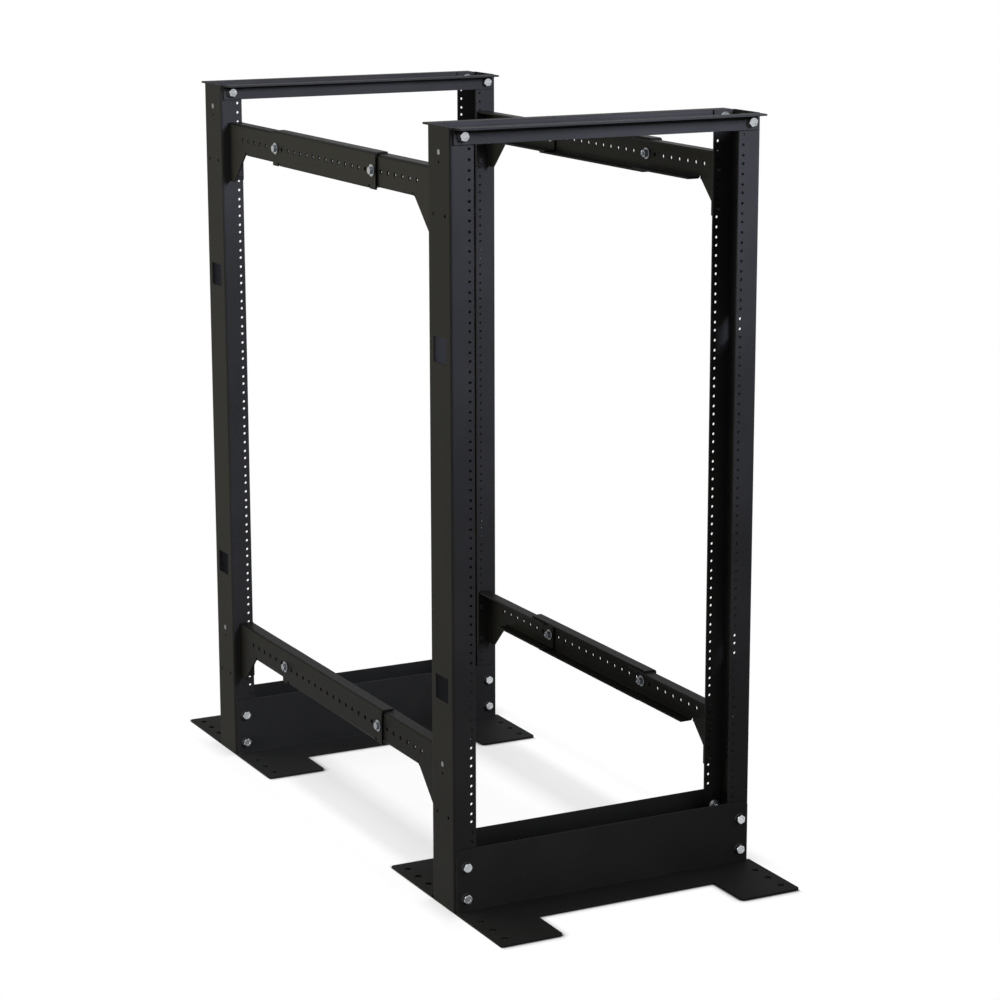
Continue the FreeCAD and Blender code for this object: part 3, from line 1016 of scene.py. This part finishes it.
def make_stage():
    """White floor and plain soft light. Returns each lamp's receivers."""
    scene = bpy.context.scene
    scene.view_settings.view_transform = "Standard"
    world = bpy.data.worlds.new("world")
    scene.world = world
    world.use_nodes = True
    nodes, links = world.node_tree.nodes, world.node_tree.links
    background = nodes["Background"]
    background.inputs["Color"].default_value = (1, 1, 1, 1)
    path = nodes.new("ShaderNodeLightPath")
    shown = nodes.new("ShaderNodeMath")
    shown.operation = "MAXIMUM"
    also = nodes.new("ShaderNodeMath")
    also.operation = "MAXIMUM"
    strength = nodes.new("ShaderNodeMapRange")
    strength.inputs["To Min"].default_value = WORLD_LIGHT
    strength.inputs["To Max"].default_value = WORLD_SHOWN
    links.new(path.outputs["Is Camera Ray"], shown.inputs[0])
    links.new(path.outputs["Is Glossy Ray"], shown.inputs[1])
    links.new(shown.outputs[0], also.inputs[0])
    links.new(path.outputs["Is Transmission Ray"], also.inputs[1])
    links.new(also.outputs[0], strength.inputs["Value"])
    links.new(strength.outputs["Result"], background.inputs["Strength"])
    bpy.ops.mesh.primitive_plane_add(size=FLOOR_SIZE, location=(0, 0, -FLOOR_DROP))
    floor = bpy.context.object
    floor.name = "floor"
    floor.data.materials.append(floor_material())
    receivers = {}
    for name, place, target, size, power, spread, color in LAMPS:
        data = bpy.data.lights.new(name, "AREA")
        data.size = size
        data.energy = power
        data.spread = math.radians(spread)
        data.color = color
        lamp = bpy.data.objects.new(name, data)
        lamp.location = place
        lamp.rotation_euler = (Vector(target) - Vector(place)).to_track_quat("-Z", "Y").to_euler()
        scene.collection.objects.link(lamp)
        receivers[name] = bpy.data.collections.new(name + "_receivers")
        lamp.light_linking.receiver_collection = receivers[name]
        link_light(receivers[name], floor, "INCLUDE" if name.startswith("floor") else "EXCLUDE")
    return receivers


def link_light(receivers, obj, state):
    """Lets a lamp reach an object, or keeps it off."""
    receivers.objects.link(obj)
    receivers.collection_objects[-1].light_linking.link_state = state


def main():
    make_camera()
    receivers = make_stage()
    coats = {slot: powder_coat("%s_powder_coat" % slot, *looks) for slot, looks in COATS.items()}
    record = frame["record"]
    body_of = {node: body for body, members in record["behaviour"]["bodies"].items() for node in members}
    slots = {p["node"]: p["material_slot"] for p in record["subparts"]}
    for node in frame["nodes"]:
        if node.endswith("upright"):
            piece = make_upright(node)
        elif node.endswith("top_angle"):
            piece = make_top_angle(node)
        elif node.endswith("base_angle"):
            piece = make_base_angle(node)
        elif node.endswith("sleeve"):
            piece = make_sleeve(node)
        else:
            piece = make_arm(node)
        piece.data.materials.append(coats[slots[node]])
        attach(piece, body_of[node])
        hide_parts(node)
    plates = {name: zinc(name, *looks) for name, looks in ZINC.items()}
    for frame_name in ("front", "rear"):
        # The second plate paints shade on the sides and flanges of the bolt heads.
        bolts = frame_bolts(frame_name, [plates["bright_zinc"], plates["painted_shade_zinc"]])
        link_light(receivers["key"], bolts, "EXCLUDE")
        web_inserts(frame_name, plates["insert_zinc"])
        tab_screws(frame_name, coats["frame_steel"])
    sleeve_spots = [(level, *spot) for level in RAIL_UNITS for spot in SLEEVE_BOLTS]
    rail_bolts("sleeve_bolts", sleeve_spots, "front_frame", plates["rail_zinc"])
    arm_spots = [(level, *spot) for level in RAIL_UNITS for spot in REAR_ARM_BOLTS]
    rail_bolts("rear_arm_bolts", arm_spots, "rear_frame", plates["rail_zinc"])


main()
